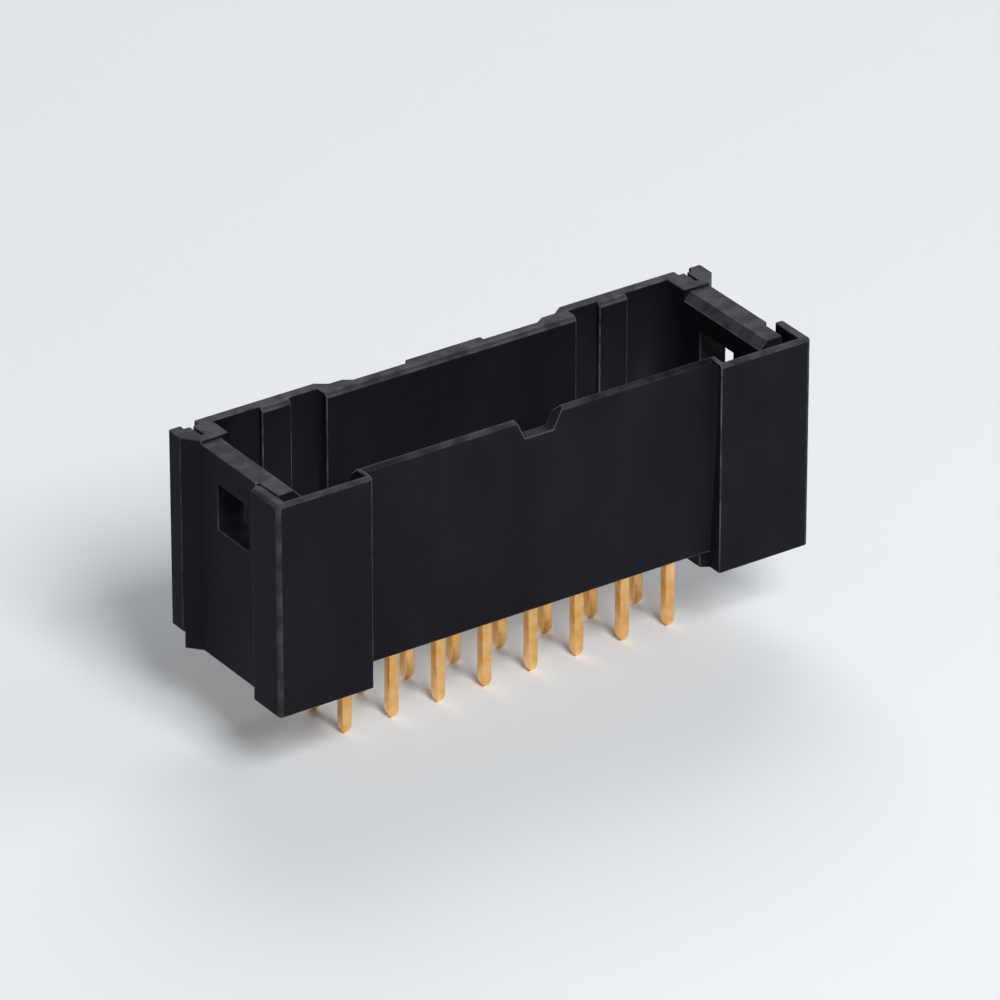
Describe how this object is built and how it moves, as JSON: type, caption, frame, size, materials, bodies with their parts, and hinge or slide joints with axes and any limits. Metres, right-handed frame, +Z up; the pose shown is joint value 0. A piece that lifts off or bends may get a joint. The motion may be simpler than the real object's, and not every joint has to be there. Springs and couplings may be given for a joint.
{
  "type": "shrouded pin header",
  "caption": "Straight two-row pin header in an open-topped moulded shroud with a polarising notch, latch windows in the end walls and solder tails below two end feet.",
  "frame": {"origin": "middle of the contact field, on the seating plane where the housing's two feet stand on the board", "axes": "+X along the rows, +Y to the rear wall, away from the polarising notch, +Z up out of the plug cavity"},
  "size_m": [0.029, 0.009, 0.0147],
  "materials": {
    "housing_plastic": "satin black glass-filled moulding",
    "contact_gold": "thin gold plating over copper alloy"
  },
  "bodies": {
    "root": {"housing": "housing_plastic", "contact_front_1": "contact_gold", "contact_front_2": "contact_gold", "contact_front_3": "contact_gold", "contact_front_4": "contact_gold", "contact_front_5": "contact_gold", "contact_front_6": "contact_gold", "contact_front_7": "contact_gold", "contact_front_8": "contact_gold", "contact_back_1": "contact_gold", "contact_back_2": "contact_gold", "contact_back_3": "contact_gold", "contact_back_4": "contact_gold", "contact_back_5": "contact_gold", "contact_back_6": "contact_gold", "contact_back_7": "contact_gold", "contact_back_8": "contact_gold"}
  },
  "joints": []
}
